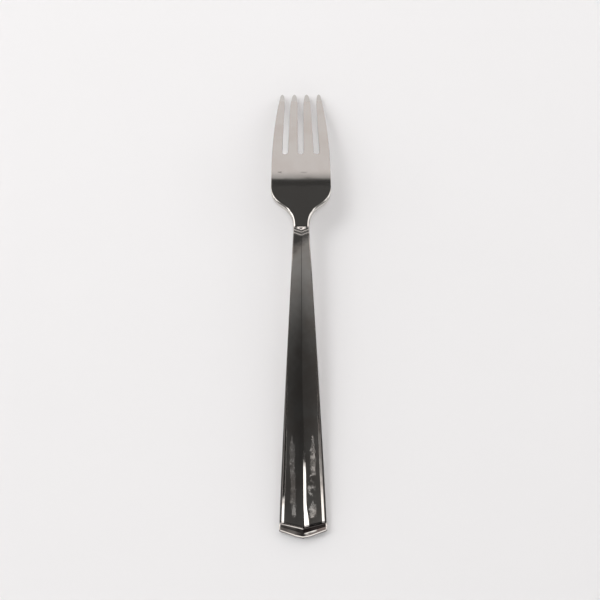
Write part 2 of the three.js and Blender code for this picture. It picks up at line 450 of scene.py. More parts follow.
def loft(rings, closed=False):
    """Points and faces of a tube through rings. Its ends get lids, or meet where it is closed."""
    count = len(rings[0])
    faces = []
    for row in range(len(rings) if closed else len(rings) - 1):
        first, second = row * count, (row + 1) % len(rings) * count
        for place in range(count):
            after = (place + 1) % count
            faces.append((first + place, first + after, second + after, second + place))
    if not closed:
        last = (len(rings) - 1) * count
        faces.append(tuple(reversed(range(count))))
        faces.append(tuple(range(last, last + count)))
    return np.vstack(rings), faces


def joined(*shapes):
    """Points and faces of several shapes as one."""
    points, faces = [], []
    for shape_points, shape_faces in shapes:
        faces += [tuple(place + len(points) for place in face) for face in shape_faces]
        points += [tuple(point) for point in shape_points]
    return points, faces


# Butt cap: a rounded end, a lip, a ledge and a thin ridge along the shells

# Lines round the cap, in millimetres: the station, the drop below the handle's surface,
# the margin at the sides and the lift of the foot
CAP_LINES = [
    (0.00, 2.10, -0.02, 2.00), (0.03, 1.80, -0.10, 1.40), (0.10, 1.60, -0.14, 0.95),
    (0.18, 1.48, -0.15, 0.60), (0.21, 1.44, -0.15, 0.50), (0.55, 1.08, -0.15, 0.25),
    (0.60, 1.04, -0.15, 0.20), (0.90, 0.94, -0.15, 0.10), (1.20, 0.83, -0.15, 0.00),
    (1.55, 0.70, -0.15, 0.00), (1.62, 0.67, -0.15, 0.00), (1.72, 0.66, -0.15, 0.00),
    (3.16, 0.66, -0.14, 0.00), (3.24, 0.62, -0.12, 0.00), (3.34, 0.46, -0.10, 0.00),
    (3.46, 0.40, -0.08, 0.00), (3.58, 0.46, 0.02, 0.00), (3.66, 0.58, 0.20, 0.00),
    (3.76, 0.60, 0.30, 0.00),
]
LEDGE_START = 1.72 * MM
LEDGE_END = 3.16 * MM


def cap_section(drop, margin, lift):
    """The handle's roof, lowered and drawn in, over straight sides with a rounded foot."""
    def section(station):
        above = roof(station, margin, CAP_BEVEL_WIDTH) + np.array([0, margin - drop])
        half = above[-1, 0]
        foot = lift - centre(np.array(station))
        low = soften([(half, 0), (half, foot), (0, foot)], [SIDE_ROUND])[1:]
        return whole(np.vstack([above[:-1], low]))
    return section


def bowed(line):
    """A ring of the cap. Its arms bow outwards at the rounded end and lie along the shells."""
    station, *sizes = line
    slope = lerp(BUTT_CHEVRON_SLOPE, SHELL_CHEVRON_SLOPE, share(station, LEDGE_START, LEDGE_END))
    points = ring(station, cap_section(*sizes), slope)
    out = np.abs(points[:, 0]) / np.abs(points[:, 0]).max()
    points[:, 1] -= CAP_BOW * 4 * out * (1 - out) * (1 - share(station, 0, CAP_BOW_END))
    return points


def butt_cap():
    rings = [bowed(line) for line in np.array(CAP_LINES) * MM]
    inside = sleeve_section(SHELL_WALL + SPIGOT_GAP)
    ends = (CAP_LENGTH - SPIGOT_OVERLAP, CAP_LENGTH + SPIGOT_LENGTH)
    spigot = [ring(station, inside) for station in ends]
    return piece("butt_end", *joined(loft(rings), loft(spigot)))


# Head: four strips side by side, joined in the body and parted by the slots

# An edge across, as shares of its inset and of its drop
EDGE_LINE = np.array([
    (0, 1), (0.32, 0.36), (0.345, 0.322), (0.38, 0.296), (0.92, 0.018), (0.96, 0.004), (1, 0), (1.08, 0),
])
EDGE_ROOM = 0.9  # of a strip's width, for its two edges
STRIP_STEPS = 4
TIP_FALL = 0.12 * MM
LOW_EDGE = 0.3 * MM
slot_half = SLOT_WIDTH / 2
root_pitch = (2 * half_width(head_edge, slot_root) + SLOT_WIDTH) / TINE_COUNT


def slot_gap(station):
    """Half the width of a slot: a round root, straight sides and a flare that tapers the tips."""
    if station <= slot_root:
        return 0.0
    deep = min(station - slot_root, slot_half)
    sides = math.sqrt(slot_half ** 2 - (slot_half - deep) ** 2)
    flare = (TIP_PITCH - TIP_WIDTH) / 2 - slot_half
    return sides + flare * share(station, tip - TIP_TAPER, tip) ** 2


def strips(station):
    """Left and right side of each strip, where the tips are rounded off."""
    half = half_width(head_edge, station)
    if station <= slot_root:
        pitch = root_pitch * half / half_width(head_edge, slot_root)
    else:
        pitch = lerp(root_pitch, TIP_PITCH, share(station, slot_root, tip))
    gap = slot_gap(station)
    middles = [pitch * (place + 1 - TINE_COUNT / 2) for place in range(TINE_COUNT - 1)]
    lefts = [-half] + [middle + gap for middle in middles]
    rights = [middle - gap for middle in middles] + [half]
    keep = math.sqrt(1 - share(station, tip - TIP_ROUND, tip) ** 2)
    pairs = []
    for left, right in zip(lefts, rights):
        middle, reach = (left + right) / 2, (right - left) / 2 * keep
        pairs.append((middle - reach, middle + reach))
    return pairs


def strip_line(left, right, insets, drops, level):
    """One strip's surface across: an edge, a flat and an edge."""
    room = EDGE_ROOM * (right - left) / EDGE_LINE[-1, 0]
    insets = np.array(insets) * min(1, room / sum(insets))
    inwards, down = EDGE_LINE.T
    start = np.column_stack([left + insets[0] * inwards, level - drops[0] * down])
    end = np.column_stack([right - insets[1] * inwards, level - drops[1] * down])[::-1]
    flat = np.linspace(start[-1], end[0], STRIP_STEPS + 2)[1:-1]
    return np.vstack([start, flat, end])


def thickness(station):
    """The head's thickness, from the neck to the tips."""
    root = lerp(NECK_THICKNESS, BODY_THICKNESS, smooth(station, plate_start, shoulder))
    return lerp(root, TIP_THICKNESS, share(station, shoulder, tip))


neck_top = centre(plate_start) + NECK_THICKNESS / 2 - NECK_STEP
crown_top = CROWN_HEIGHT + thickness(crown) / 2


def back_height(station):
    """Height of the head's back, which rises to the crown and falls to the tips."""
    if station < crown:
        return crown_top - (crown_top - neck_top) * ((crown - station) / (crown - plate_start)) ** 2
    fall = (crown_top - TIP_THICKNESS) * ((station - crown) / (tip - crown)) ** 2
    return crown_top - fall - TIP_FALL * share(station, tip - TIP_ROUND, tip) ** 3


def head_row(station):
    """Upper and lower surface of each strip at a station, as (across, height)."""
    fade = share(station, shoulder - RIM_FADE_LENGTH, shoulder)
    flare = np.interp(station, head_edge[:, 0], head_flare)
    rim = lerp(RIM_WIDTH, TINE_EDGE, fade) * flare
    drop = lerp(RIM_DROP, TINE_EDGE, fade)
    low_rim = lerp(LOW_RIM, LOW_EDGE, fade)
    back = back_height(station)
    front = centre(station) - thickness(station) / 2
    slot_drop = TINE_EDGE * smooth(station, slot_root, slot_root + slot_half)
    rows = []
    for place, (left, right) in enumerate(strips(station)):
        outer = [place == 0, place == TINE_COUNT - 1]
        insets = [rim if side else TINE_EDGE for side in outer]
        drops = [drop if side else slot_drop for side in outer]
        low_insets = [low_rim * flare if side else LOW_EDGE for side in outer]
        low_drops = [low_rim if side else slot_drop for side in outer]
        above = strip_line(left, right, insets, drops, back)
        below = strip_line(left, right, low_insets, low_drops, -front) * np.array([1, -1])
        rows.append((above, below))
    return rows


def neck_row():
    """The head's first row, which has the handle's roof shape and lies along the collar's V."""
    line = roof(neck_start)
    inset = bevel_width(neck_start)
    rows = []
    for place, (left, right) in enumerate(strips(plate_start)):
        outer = [place == 0, place == TINE_COUNT - 1]
        insets = [inset if side else TINE_EDGE for side in outer]
        across = strip_line(left, right, insets, [0, 0], 0)[:, 0]
        up = np.interp(np.abs(across), line[:, 0], line[:, 1])
        along = neck_start + COLLAR_CHEVRON_SLOPE * np.abs(across)
        middle = centre(along)
        heights = (middle + up, middle - up)
        rows.append([np.column_stack([across, along + butt_y, height]) for height in heights])
    return np.array(rows)


RAMP_SHARES = (0.05, 0.5, 0.95)
FIRST_STEP = 0.08 * MM
ROW_MARGIN = 0.4 * MM
BODY_ROWS = 80
ROOT_TURNS = 9
TINE_ROWS = 70
TIP_TURNS = 9
TIP_END = 0.46 * math.pi  # where the last row cuts the tips' rounding
TANG_ROWS = 5


def head_stations():
    """Stations of the head's rows, closer together round the slots' roots and at the tips."""
    root_turn = np.linspace(0, math.pi / 2, ROOT_TURNS)
    tip_turn = np.linspace(0, TIP_END, TIP_TURNS)
    return np.concatenate([
        [plate_start, plate_start + FIRST_STEP],
        np.linspace(plate_start + ROW_MARGIN, slot_root - ROW_MARGIN, BODY_ROWS),
        slot_root + slot_half * (1 - np.cos(root_turn)),
        np.linspace(slot_root + slot_half, tip - TIP_ROUND, TINE_ROWS)[1:-1],
        tip - TIP_ROUND * (1 - np.sin(tip_turn)),
    ])


def placed(rows, station):
    """The strips of one row as points in space."""
    rows = np.array(rows)
    along = np.full(rows.shape[:-1], station + butt_y)
    return np.stack([rows[..., 0], along, rows[..., 1]], axis=-1)


def head_faces(row_count, root_row, width):
    """Faces of the strips, with the slots' walls from the roots to the tips."""
    def index(row, strip, side, place):
        return ((row * TINE_COUNT + strip) * 2 + side) * width + place

    faces = []
    for strip in range(TINE_COUNT):
        for row in range(row_count - 1):
            after = row + 1
            for place in range(width - 1):
                corners = [(row, place), (row, place + 1), (after, place + 1), (after, place)]
                faces.append(tuple(index(r, strip, 0, p) for r, p in corners))
                faces.append(tuple(index(r, strip, 1, p) for r, p in corners[::-1]))
            walls = [(0, strip == 0), (width - 1, strip == TINE_COUNT - 1)]
            for place, outer in walls:
                if outer or row >= root_row:
                    wall = [(row, 0), (after, 0), (after, 1), (row, 1)]
                    faces.append(tuple(index(r, strip, side, place) for r, side in wall))
        for row in (0, row_count - 1):
            for place in range(width - 1):
                end = [(0, place), (0, place + 1), (1, place + 1), (1, place)]
                faces.append(tuple(index(row, strip, side, p) for side, p in end))
    return faces


def fork_head():
    stations = head_stations()
    first = neck_row()
    plate = [placed(head_row(station), station) for station in stations]
    ramp = [lerp(first, plate[0], part) for part in RAMP_SHARES]
    rows = np.array([first, *ramp, *plate])
    root_row = 1 + len(ramp) + int(np.argmin(np.abs(stations - slot_root)))
    plate_shape = rows.reshape(-1, 3), head_faces(len(rows), root_row, rows.shape[3])
    tang_stations = np.linspace(neck_start - TANG_LENGTH, plate_start, TANG_ROWS)
    tang = [ring(station, tang_section) for station in tang_stations]
    return piece("tines_and_neck", *joined(plate_shape, loft(tang)))


# Shapes from geometry nodes

def shape_tree(name, inputs, output):
    """A new tree of geometry nodes, with a start for its node maths and its inputs."""
    tree = bpy.data.node_groups.new(name, "GeometryNodeTree")
    for label, kind in inputs:
        tree.interface.new_socket(label, in_out="INPUT", socket_type="NodeSocket" + kind)
    tree.interface.new_socket(output, in_out="OUTPUT", socket_type="NodeSocketGeometry")
    field = Field(tree)
    return tree, field, field.add("NodeGroupInput")


def dress(field, given, shape, output):
    """Ends a tree: the shape takes the finish that is given and goes out."""
    finished = {"Geometry": shape, "Material": given.also("Finish")}
    dressed = field.add("GeometryNodeSetMaterial", inputs=finished)
    field.add("NodeGroupOutput", inputs={output: dressed})


def closed_line(name, points):
    """A mesh of points that are joined in a closed line."""
    mesh = bpy.data.meshes.new(name)
    links = [(place, (place + 1) % len(points)) for place in range(len(points))]
    mesh.from_pydata(points, links, [])
    return mesh


def grown(tree, start, sizes):
    """Points and faces that a node tree makes from a start mesh, with its inputs set to these sizes."""
    maker = bpy.data.objects.new(tree.name, start)
    bpy.context.scene.collection.objects.link(maker)
    modifier = maker.modifiers.new(tree.name, "NODES")
    modifier.node_group = tree
    for socket in tree.interface.items_tree:
        if socket.name in sizes:
            modifier[socket.identifier] = sizes[socket.name]
    graph = bpy.context.evaluated_depsgraph_get()
    made = bpy.data.meshes.new_from_object(maker.evaluated_get(graph))
    maker.modifiers.remove(modifier)
    bpy.data.objects.remove(maker)
    points = [tuple(corner.co) for corner in made.vertices]
    return points, [tuple(face.vertices) for face in made.polygons]


# Handle shells: a section from seam to seam over the spine and back inside, swept along the handle

SHELL_ROWS = 90
SWEEP_PASSES = 2  # that bring a swept point to its station
SECTION_SHARES = (
    "side", "half", "inset", "crest", "across", "up", "rise", "drop", "facet_rise", "crest_fall",
)
SHELL_INPUTS = [("Section", "Geometry"), ("Rows", "Int"), ("Flip", "Float"), ("Finish", "Material")]
SHELL_INPUTS += [(name, "Float") for name in HANDLE_SIZES]


def rounded(corner, back, on, radius):
    """Shares of the inset, of the drop and of the facet's rise for the points that round a corner."""
    steps = np.linspace(0, 1, CORNER_STEPS + 1)
    turns = [(FLAT_MARGIN, 0), *zip((1 - steps) ** 2, steps ** 2), (0, FLAT_MARGIN)]
    return [corner + radius * (back * before + on * after) for before, after in turns]


def half_section():
    """The section's right half from the spine, each point with its shares, all but the side."""
    def slant(steepness):
        length = math.hypot(1, steepness)
        return np.array([1 / length, -steepness / length, 0])

    facet = np.array([1, 0, -1])
    bevel = slant(BEVEL_STEEPNESS)
    edge = slant(EDGE_STEEPNESS)
    side = np.array([0, -1, 0])
    top = np.array([-1, 0, 0])
    middle = top + np.array([1, -BEVEL_STEEPNESS, 0]) * (1 - EDGE_SHARE)
    low = middle + np.array([1, -EDGE_STEEPNESS, 0]) * EDGE_SHARE
    line = []
    for part in np.linspace(0, 1, CREST_STEPS + 1):
        line.append((0, 0, part, 0, facet_height, 1, 0, 0, -part ** 2 / 2))
    turns = [(top, -facet, bevel), (middle, -bevel, edge), (low, -edge, side)]
    for (corner, back, on), radius in zip(turns, BEVEL_ROUNDS):
        for inset, drop, facet_rise in rounded(corner, back, on, radius):
            line.append((1, inset, 0, 0, facet_height, 0, drop, facet_rise, 0))
    inside = facet_height - SHELL_WALL
    line.append((1, 0, 0, 0, SEAM_GAP / 2, 0, 0, 0, 0))
    line.append((1, 0, 0, -SHELL_WALL, SEAM_GAP / 2, 0, 0, 0, 0))
    line.append((1, -1, 0, -SHELL_WALL, inside, 0, 0, 0, 0))
    line.append((0, 0, 1, 0, inside, 1, 0, 0, -0.5))
    line.append((0, 0, 0, 0, inside, 1, 0, 0, 0))
    return line


def section_mesh():
    """The section as a closed line of points that carry their shares."""
    right = half_section()
    points = [(1, *point) for point in right] + [(-1, *point) for point in right[-2:0:-1]]
    spread = [(point[0] * place, place, 0) for place, point in enumerate(points)]
    mesh = closed_line("shell section", spread)
    for name, values in zip(SECTION_SHARES, zip(*points)):
        mesh.attributes.new(name, "FLOAT", "POINT").data.foreach_set("value", values)
    return mesh


def swept(station, shares, sizes):
    """Where a section's point lies across and up at a station."""
    half = handle_half(station, sizes)
    inset = bevel_width(station, sizes)
    crest = crest_half(station, sizes)
    fall = sizes["Roof Rise"] / (half - inset - crest / 2)
    across = shares["half"] * half + shares["inset"] * inset + shares["crest"] * crest + shares["across"]
    slant = fall * (shares["facet_rise"] * inset + shares["crest_fall"] * crest)
    up = shares["up"] + shares["rise"] * sizes["Roof Rise"] + shares["drop"] * inset + slant
    return across, up


def shell_tree():
    """Nodes that sweep a section along the handle, with its sides swept on as the arms of a V."""
    tree, field, given = shape_tree("handle shell", SHELL_INPUTS, "Shell")
    sizes = {name: given.also(name) for name in HANDLE_SIZES}
    section = field.add("GeometryNodeMeshToCurve", inputs={"Mesh": given.also("Section")})
    line = field.add("GeometryNodeCurvePrimitiveLine", inputs={"End": (0, 1, 0)})
    rail = field.add("GeometryNodeResampleCurve", inputs={"Curve": line, "Count": given.also("Rows")})
    place = {"Geometry": rail, "Name": "row", "Value": field.add("GeometryNodeSplineParameter")}
    rail = field.add("GeometryNodeStoreNamedAttribute", inputs=place)
    sweep = {"Curve": rail, "Profile Curve": section, "Fill Caps": True}
    tube = field.add("GeometryNodeCurveToMesh", inputs=sweep)
    shares = {}
    for name in (*SECTION_SHARES, "row"):
        shares[name] = field.add("GeometryNodeInputNamedAttribute", inputs={"Name": name})
    row = lerp(sizes["First Row"], sizes["End"], shares["row"])
    slope = lerp(SHELL_CHEVRON_SLOPE, COLLAR_CHEVRON_SLOPE, shares["row"])
    station = row
    for _ in range(SWEEP_PASSES):
        station = row + slope * swept(station, shares, sizes)[0]
    across, up = swept(station, shares, sizes)
    height = station * handle_slope + butt_height + up * given.also("Flip")
    spot = {"X": across * shares["side"], "Y": station + butt_y, "Z": height}
    moved = {"Geometry": tube, "Position": field.add("ShaderNodeCombineXYZ", inputs=spot)}
    bent = field.add("GeometryNodeSetPosition", inputs=moved)
    solid = field.add("GeometryNodeRealizeInstances", inputs={0: bent})
    dress(field, given, solid, "Shell")
    return tree


def handle_shell(name, tree, flip, material):
    """One half of the handle: the back where flip is 1, the front where it is -1."""
    sizes = dict(HANDLE_SIZES, Rows=SHELL_ROWS, Flip=flip, Finish=material)
    return piece(name, *grown(tree, section_mesh(), sizes))


# Collar: a sleeve over the tang, with V-shaped ribs round it

COLLAR_ROWS = 4
RIB_SIDES = 10
RIB_INPUTS = [
    ("Path", "Geometry"), ("Radius", "Float"), ("Sides", "Int"),
    ("Count", "Int"), ("Pitch", "Vector"), ("Finish", "Material"),
]


def rib_tree():
    """Nodes that sweep a round bar along a path and repeat it at a pitch."""
    tree, field, given = shape_tree("chevron ribs", RIB_INPUTS, "Ribs")
    path = field.add("GeometryNodeMeshToCurve", inputs={"Mesh": given.also("Path")})
    round_bar = {"Radius": given.also("Radius"), "Resolution": given.also("Sides")}
    bar = field.add("GeometryNodeCurvePrimitiveCircle", inputs=round_bar)
    rib = field.add("GeometryNodeCurveToMesh", inputs={"Curve": path, "Profile Curve": bar})
    line = {"Count": given.also("Count"), "Offset": given.also("Pitch")}
    places = field.add("GeometryNodeMeshLine", {"mode": "OFFSET"}, line)
    ribs = field.add("GeometryNodeInstanceOnPoints", inputs={"Points": places, "Instance": rib})
    solid = field.add("GeometryNodeRealizeInstances", inputs={"Geometry": ribs})
    dress(field, given, solid, "Ribs")
    return tree


def collar(material):
    """A sleeve with a bore for the tang, and the ribs round it."""
    stations = np.linspace(collar_start, collar_end, COLLAR_ROWS)
    outside = [ring(station, sleeve_section(GROOVE_DEPTH)) for station in stations]
    bore = [lerp(outer.mean(axis=0), outer, BORE_SHARE) for outer in outside[::-1]]
    first_rib = ring(collar_start + rib_pitch / 2, sleeve_section(RIB_RADIUS))
    sizes = {
        "Radius": RIB_RADIUS,
        "Sides": RIB_SIDES,
        "Count": RIB_COUNT,
        "Pitch": (0, rib_pitch, rib_pitch * handle_slope),
        "Finish": material,
    }
    ribs = grown(rib_tree(), closed_line("rib path", first_rib.tolist()), sizes)
    return piece("collar", *joined(loft(outside + bore, closed=True), ribs))


# Finishes

STEEL = (0.60, 0.58, 0.555, 1)
TARNISH = (0.52, 0.475, 0.44, 1)
# The grey and dark grime colours paint both the head's dried marks and painted shade on the collar, the
# handle and the cap's step.
GRIME_AND_SHADE = (0.26, 0.25, 0.24, 1)
DARK_GRIME_AND_SHADE = (0.10, 0.097, 0.095, 1)
BROWN_FILM_AND_SHADE = (0.12, 0.094, 0.087, 1)
# The darkest colour is painted shade only: under the bevels and on the cap.
SHADE_BLACK = (0.03, 0.028, 0.027, 1)
DARK_CEMENT = (0.36, 0.34, 0.31, 1)
PALE_CEMENT = (0.5, 0.48, 0.44, 1)
# The paper is painted darker towards the front and the right, as a falloff of the light; the paler
# colour is where it is lit.
SHADED_PAPER = (0.755, 0.752, 0.757, 1)
PALE_PAPER = (0.893, 0.889, 0.895, 1)

# Scales of noise, per metre
CLOUD_SCALE = 85.0
WAVE_SCALE = 260.0
BLOTCH_SCALE = 420.0
SPECK_SCALE = 1900.0
GRAIN_SCALE = 1500.0
FIBRE_SCALE = 12.0

# Roughness of polished steel, and what tarnish and a hazy film add
STEEL_ROUGHNESS = 0.02
TARNISH_ROUGHNESS = 0.02
FILM_ROUGHNESS = 0.25
CEMENT_ROUGHNESS = 0.95
PAPER_ROUGHNESS = 0.9
PAPER_SHINE = 0.1
GRAIN_HEIGHT = 0.2 * MM
GRAIN_STRENGTH = 0.5


def finish(name):
    """A new material with its shader, a start for its node maths and the place on the object."""
    material = bpy.data.materials.new(name)
    material.use_nodes = True
    shader = material.node_tree.nodes["Principled BSDF"]
    field = Field(material.node_tree)
    return material, shader, field, field.add("ShaderNodeTexCoord", output="Object")


def connect(node, links):
    """Links fields to a node's inputs."""
    for name, value in links.items():
        value.tree.links.new(value.socket, node.inputs[name])


def blended(field, factor, first, second):
    """A colour between two others."""
    mix = {"Factor": factor, "A": first, "B": second}
    return field.add("ShaderNodeMix", {"data_type": "RGBA"}, mix, "Result")


def noise(field, place, scale, detail=2.0, roughness=0.5):
    inputs = {"Vector": place, "Scale": scale, "Detail": detail, "Roughness": roughness}
    return field.add("ShaderNodeTexNoise", inputs=inputs)


def polished_steel(name, waviness, tarnish, layers, haze=None):
    """Mirror steel with tarnish, a slight waviness, layers of dirt and painted shade and, where given, a
    hazy film.
    """
    material, shader, field, place = finish(name)
    shader.inputs["Metallic"].default_value = 1.0
    clouds = noise(field, place, CLOUD_SCALE, detail=4.0)
    waves = noise(field, place, WAVE_SCALE, detail=1.0)
    rough = STEEL_ROUGHNESS + clouds * TARNISH_ROUGHNESS
    colour = blended(field, clouds.rise(0.35, 0.7) * tarnish, STEEL, TARNISH)
    # Each layer is dirt or painted shade, with its colour.
    for layer_mask, layer_colour in layers:
        colour = blended(field, layer_mask(field, place), colour, layer_colour)
    height = field.add("ShaderNodeBump", inputs={"Height": waves, "Distance": waviness})
    links = {"Base Color": colour, "Roughness": rough, "Normal": height}
    if haze:
        film = haze(field, place)
        links.update({"Roughness": rough + film * FILM_ROUGHNESS, "Metallic": 1 - film})
    connect(shader, links)
    return material


# Dirt, haze and painted shade. Their places are in millimetres.

def in_millimetres(field, place):
    """Position across and along the fork."""
    x = field.add("ShaderNodeSeparateXYZ", inputs={0: place})
    return x * PER_METRE, x.also("Y") * PER_METRE


def blotches(field, place):
    """A noise for ragged edges and patches."""
    return noise(field, place, BLOTCH_SCALE, detail=4.0, roughness=0.6)


def right_side(across):
    """0 on the left and 1 on the right, with a soft step on the middle line."""
    return across.rise(-0.3, 0.3)


def over_middle(field, place, along):
    """Height over the middle of the handle's thickness."""
    height = field.add("ShaderNodeSeparateXYZ", inputs={0: place}, output="Z") * PER_METRE
    return height - (along - butt_y * PER_METRE) * handle_slope - butt_height * PER_METRE


def chevron_station(across, along, slope):
    """Distance from the butt's point along the fork, measured from a V of this slope."""
    return along - abs(across) * slope - butt_y * PER_METRE


def streak(across, along, middle, width, start, end, taper):
    """A ragged streak along the fork, pointed at its upper end."""
    narrow = 1 - along.rise(end - taper, end) * 0.8
    sides = 1 - (abs(across - middle) / narrow).rise(width * 0.75, width * 1.1)
    return sides * along.band(start, end, 0.6)


# Streaks of haze, each as its middle, half its width, its ends and the length of its point
LEFT_STREAK = (-3.7, 1.0, -91.5, -60, 5)
LEFT_END = (-3.6, 0.8, -91.8, -87, 3)
UPPER_STREAK = (4.1, 1.15, -76, -59.5, 8)
MIDDLE_PATCH = (3.6, 1.6, -83.5, -77, 3)
LOWER_PATCH = (3.9, 1.5, -91.6, -86, 3)
LEAN = 0.021
LEAN_START = -91
RAGGED_ACROSS = 2.2
RAGGED_ALONG = 6


def hand_haze(field, place):
    """Share of the dull film that handling leaves in two streaks on the facets by the butt."""
    across, along = in_millimetres(field, place)
    patches = blotches(field, place)
    spots = patches.rise(0.4, 0.7)
    specks = noise(field, place, SPECK_SCALE).rise(0.6, 0.68) * 0.2
    across = across + (patches - 0.5) * RAGGED_ACROSS
    along = along + (patches - 0.5) * RAGGED_ALONG
    leaning = across + (along - LEAN_START) * LEAN
    left = streak(leaning, along, *LEFT_STREAK) * (0.07 + spots * 0.13 + specks)
    left_end = streak(leaning, along, *LEFT_END) * 0.3
    upper = streak(across, along, *UPPER_STREAK) * (0.14 + spots * 0.4)
    patch = streak(across, along, *MIDDLE_PATCH) * patches.rise(0.44, 0.56) * 0.3
    lower = streak(across, along, *LOWER_PATCH) * (0.16 + spots * 0.3)
    return left.larger(left_end, upper, patch, lower)


def collar_dark_and_cap_shade(field, place):
    """Darker towards the collar, and painted shade in a V-shaped band where the shells meet the cap."""
    across, along = in_millimetres(field, place)
    patches = blotches(field, place)
    by_collar = (along + patches * 6 - across * 0.9).rise(20.5, 27) * 0.92
    # Painted shade: a dark band along the step from the shells to the cap.
    by_cap = 1 - chevron_station(across, along, SHELL_CHEVRON_SLOPE).rise(4.35, 4.6)
    return by_collar.larger(by_cap * (0.4 + right_side(across) * 0.5))


def bevel_strip_shade(field, place):
    """Painted shade in a strip under the bevels, for the shadowed floor that the strip mirrors, a little
    darker on the right side.
    """
    across, along = in_millimetres(field, place)
    inset = bevel_width(along / PER_METRE - butt_y) * PER_METRE
    bevel_foot = facet_height * PER_METRE - inset * (BEVEL_STEEPNESS * (1 - EDGE_SHARE))
    strip = (bevel_foot - over_middle(field, place, along)).band(0, 1, 0.04)
    return strip * (0.92 + right_side(across) * 0.05)


def groove_shade(field, place):
    """Painted shade in the grooves between the collar's ribs."""
    across, along = in_millimetres(field, place)
    station = chevron_station(across, along, COLLAR_CHEVRON_SLOPE)
    from_start = station - collar_start * PER_METRE
    turn = field.math("FRACT", from_start / (rib_pitch * PER_METRE))
    return abs(turn - 0.5).rise(0.14, 0.26) * 0.9


def cap_place(field, place):
    """Position on the cap: across, from its end, from the shells' V, and down from its top."""
    across, along = in_millimetres(field, place)
    roof_height = spine_height * PER_METRE - abs(across) * (2 * ROOF_RISE / BUTT_WIDTH)
    drop = roof_height - over_middle(field, place, along)
    station = chevron_station(across, along, BUTT_CHEVRON_SLOPE)
    by_shells = chevron_station(across, along, SHELL_CHEVRON_SLOPE)
    return across, station, by_shells, drop


def cap_film_and_shade(field, place):
    """A brown film on the cap, thicker in patches and on its right arm, and worn along its edges. It is
    partly the cap's brown tone and partly painted shade: thick on the right arm and the ridge's right
    half, and bare on the ridge's left half and a patch of the right arm, where highlights show.
    """
    across, station, by_shells, drop = cap_place(field, place)
    right = right_side(across)
    patches = blotches(field, place)
    thick = (0.42 + patches.rise(0.35, 0.7) * 0.25) * (1 - right) + right * 0.95
    worn_end = drop.band(1.06, 1.5, 0.03) * (1 - station.rise(0.9, 1.1))
    # Left bare so that highlights show: the ridge's left half and a patch on the right arm.
    bare_left_ridge = by_shells.rise(3.2, 3.3) * across.band(-7, 0, 0.5) * 0.8
    arm_end = 1 - (across + patches * 2).rise(5, 7)
    bare_arm_patch = right * (station - across * 0.06).rise(0.45, 0.7) * arm_end
    bare_arm_patch = bare_arm_patch * (1 - station.rise(1.6, 1.7))
    worn_side = abs(across).rise(8.95, 9.1)
    return thick * (1 - worn_end.larger(bare_left_ridge, bare_arm_patch, worn_side))


def cap_shade(field, place):
    """Painted shade under the cap's end and in the corner on its right arm."""
    across, station, by_shells, drop = cap_place(field, place)
    under_end = drop.rise(1.5, 1.56) * (1 - station.rise(0.3, 0.4)) * 0.9
    corner = by_shells.rise(2.7, 2.9) * right_side(across) * 0.85 * (1 - across.rise(8.6, 8.9))
    return under_end.larger(corner)


# Dried marks, each as its place, width and height in millimetres and its thickness
BODY_MARKS = [(-9.1, 53.5, 0.9, 0.4, 0.7), (1.2, 53.4, 1.6, 0.35, 0.35)]
NECK_MARKS = [(-0.2, 27.25, 0.8, 0.55, 0.95), (-0.2, 28.45, 2.6, 0.3, 0.9)]


def smears(marks):
    """Dirt in small dried marks."""
    def layer_mask(field, place):
        across, along = in_millimetres(field, place)
        along = along + (blotches(field, place) - 0.5) * 1.2
        cover = 0.0
        for x, y, width, height, thick in marks:
            away = abs((across - x) / width).larger(abs((along - y) / height))
            cover = ((1 - away.rise(0.2, 1.3)) * thick).larger(cover)
        return cover
    return layer_mask


def cement():
    """Grainy grey cement, for the core of the handle."""
    material, shader, field, place = finish("cement")
    grains = noise(field, place, GRAIN_SCALE, detail=5.0)
    bumps = {"Height": grains, "Strength": GRAIN_STRENGTH, "Distance": GRAIN_HEIGHT}
    height = field.add("ShaderNodeBump", inputs=bumps)
    shader.inputs["Roughness"].default_value = CEMENT_ROUGHNESS
    colour = blended(field, grains, DARK_CEMENT, PALE_CEMENT)
    connect(shader, {"Base Color": colour, "Normal": height})
    return material


# Stage

FLOOR_REACH = 4.0
SHADE_REACH = 0.25


def floor():
    """Paper under the fork, paler towards the rear and the left: a painted falloff of the light."""
    left, right = -FLOOR_REACH, FLOOR_REACH
    corners = [(left, left, 0), (right, left, 0), (right, right, 0), (left, right, 0)]
    made = piece("floor", corners, [(0, 1, 2, 3)])
    material, shader, field, place = finish("pale paper")
    fibre = noise(field, place, FIBRE_SCALE)
    x = field.add("ShaderNodeSeparateXYZ", inputs={0: place})
    to_rear = x.also("Y").rise(-SHADE_REACH, SHADE_REACH)
    to_left = 1 - x.rise(-SHADE_REACH, SHADE_REACH)
    shade = to_rear * 0.55 + to_left * 0.35 + fibre * 0.1
    connect(shader, {"Base Color": blended(field, shade, SHADED_PAPER, PALE_PAPER)})
    shader.inputs["Roughness"].default_value = PAPER_ROUGHNESS
    shader.inputs["Specular IOR Level"].default_value = PAPER_SHINE
    made.data.materials.append(material)


SIDE_LIGHT = 2.2
RIGHT_LIGHT = 1.7
BACKDROP_LEVEL = 0.9
PLAIN_LIGHT = (1, 0.99, 0.98, 1)
WARM_LIGHT = (1, 0.955, 0.945, 1)


def panel(across, sides, along, ends):
    """A soft panel. Its sides and its ends are each a start, an end and a softness, in degrees."""
    return across.band(*sides) * along.band(*ends)


